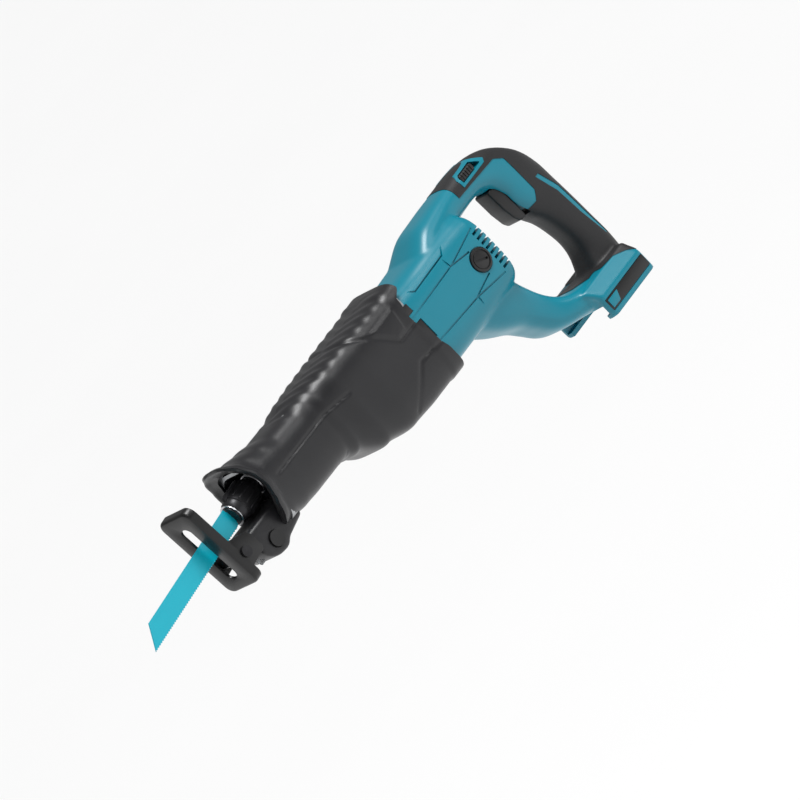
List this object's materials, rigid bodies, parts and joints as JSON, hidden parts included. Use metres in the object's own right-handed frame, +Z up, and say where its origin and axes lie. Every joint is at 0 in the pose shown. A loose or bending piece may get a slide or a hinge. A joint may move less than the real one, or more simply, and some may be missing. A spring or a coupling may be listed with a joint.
{
  "type": "reciprocating saw",
  "caption": "Cordless reciprocating saw body with D-handle, rubber nose boot, pivoting slotted shoe, tool-less blade clamp and a fitted painted blade.",
  "frame": {"origin": "where the blade line passes through the working face of the shoe", "axes": "+X forward along the body towards the blade tip, +Y to the left side, +Z up; the blade line is 4 degrees nose down from +X"},
  "size_m": [0.5816, 0.078, 0.1821],
  "materials": {
    "teal_plastic": "satin moulded shell",
    "soft_grip": "soft overmould, fine texture",
    "boot_rubber": "satin black boot",
    "cast_alloy": "as cast",
    "zinc_steel": "bright zinc",
    "bronze": "sintered",
    "seal_rubber": "smooth",
    "bearing_steel": "ground",
    "gear_steel": "machined",
    "ferrite": "matt",
    "black_plastic": "satin",
    "brass_parts": "bright",
    "carbon": "dull graphite",
    "lead_sleeve": "pvc sleeve",
    "clear_lens": "clear",
    "circuit_board": "solder mask",
    "copper": "enamelled copper",
    "clamp_steel": "blackened steel",
    "blade_paint": "satin turquoise coating",
    "shoe_steel": "black coating"
  },
  "bodies": {
    "root": {"housing_left": "teal_plastic", "housing_right": "teal_plastic", "grip_left": "soft_grip", "grip_right": "soft_grip", "boot": "boot_rubber", "gear_housing": "cast_alloy", "gear_housing_screws": "zinc_steel", "housing_screws": "zinc_steel", "front_bush": "bronze", "rear_bush": "bronze", "rod_seal": "seal_rubber", "crank_bearing_upper": "bearing_steel", "crank_bearing_lower": "bearing_steel", "motor_bearing_front": "bearing_steel", "motor_bearing_rear": "bearing_steel", "motor_can": "gear_steel", "magnets": "ferrite", "fan_baffle": "black_plastic", "brush_holders": "brass_parts", "carbon_brushes": "carbon", "brush_cap_left": "black_plastic", "brush_cap_right": "black_plastic", "switch_unit": "black_plastic", "terminal_block": "black_plastic", "terminals": "brass_parts", "power_leads": "lead_sleeve", "led_lens": "clear_lens", "led_board": "circuit_board", "shoe_button_spring": "zinc_steel"},
    "crank": {"crank_gear": "gear_steel", "crank_shaft": "bearing_steel", "crank_roller": "bearing_steel"},
    "armature": {"armature_shaft": "bearing_steel", "armature_core": "gear_steel", "armature_windings": "copper", "commutator": "copper", "fan": "black_plastic", "pinion": "gear_steel"},
    "plunger": {"plunger_rod": "bearing_steel", "crosshead": "gear_steel", "blade_holder": "clamp_steel", "blade": "blade_paint", "clamp_spring": "zinc_steel", "clamp_ring": "zinc_steel"},
    "clamp_sleeve_body": {"clamp_sleeve": "clamp_steel"},
    "blade_pin_body": {"blade_pin": "bearing_steel"},
    "shoe_slide": {"shoe_holder": "shoe_steel", "shoe_pin": "zinc_steel"},
    "shoe_plate": {"shoe": "shoe_steel"},
    "shoe_button_body": {"shoe_button": "black_plastic"},
    "trigger_body": {"trigger": "black_plastic"},
    "lock_off_body": {"lock_off_button": "black_plastic"}
  },
  "joints": [
    {"name": "crank_turn", "type": "hinge", "parent": "root", "child": "crank", "pos_m": [-0.23742, 0, 0.0166], "axis": [0.0698, 0, 0.9976], "range_deg": [0, 180]},
    {"name": "plunger_stroke", "type": "slide", "parent": "root", "child": "plunger", "axis": [0.9976, 0, -0.0698], "range_m": [-0.032, 0]},
    {"name": "armature_spin", "type": "hinge", "parent": "root", "child": "armature", "pos_m": [-0.3, 0, -0.021], "axis": [1, 0, 0], "range_deg": [0, 684]},
    {"name": "clamp_turn", "type": "hinge", "parent": "plunger", "child": "clamp_sleeve_body", "pos_m": [-0.05487, 0, 0.00384], "axis": [0.9976, 0, -0.0698], "range_deg": [-60, 0], "stiffness_Nm_per_rad": 0.1, "springref_deg": 17.19},
    {"name": "pin_lift", "type": "slide", "parent": "plunger", "child": "blade_pin_body", "axis": [0, 1, 0], "range_m": [0, 0.002]},
    {"name": "shoe_adjust", "type": "slide", "parent": "root", "child": "shoe_slide", "axis": [0.9976, 0, -0.0698], "range_m": [0, 0.03]},
    {"name": "shoe_pivot", "type": "hinge", "parent": "shoe_slide", "child": "shoe_plate", "pos_m": [-0.0133, 0, -0.01812], "axis": [0, 1, 0], "range_deg": [-25, 25]},
    {"name": "shoe_button_press", "type": "slide", "parent": "root", "child": "shoe_button_body", "axis": [0, 1, 0], "range_m": [-0.003, 0], "stiffness_N_per_m": 800, "springref_m": 0.002},
    {"name": "trigger_pull", "type": "slide", "parent": "root", "child": "trigger_body", "axis": [1, 0, 0], "range_m": [-0.007, 0], "stiffness_N_per_m": 1200, "springref_m": 0.003},
    {"name": "lock_off_push", "type": "slide", "parent": "root", "child": "lock_off_body", "axis": [0, 1, 0], "range_m": [-0.003, 0.003]}
  ],
  "couplings": [
    {"joint": "plunger_stroke", "follows": "crank_turn", "m_per_rad": -0.010186},
    {"joint": "armature_spin", "follows": "crank_turn", "ratio": 3.8},
    {"joint": "pin_lift", "follows": "clamp_turn", "m_per_rad": -0.0019099}
  ]
}
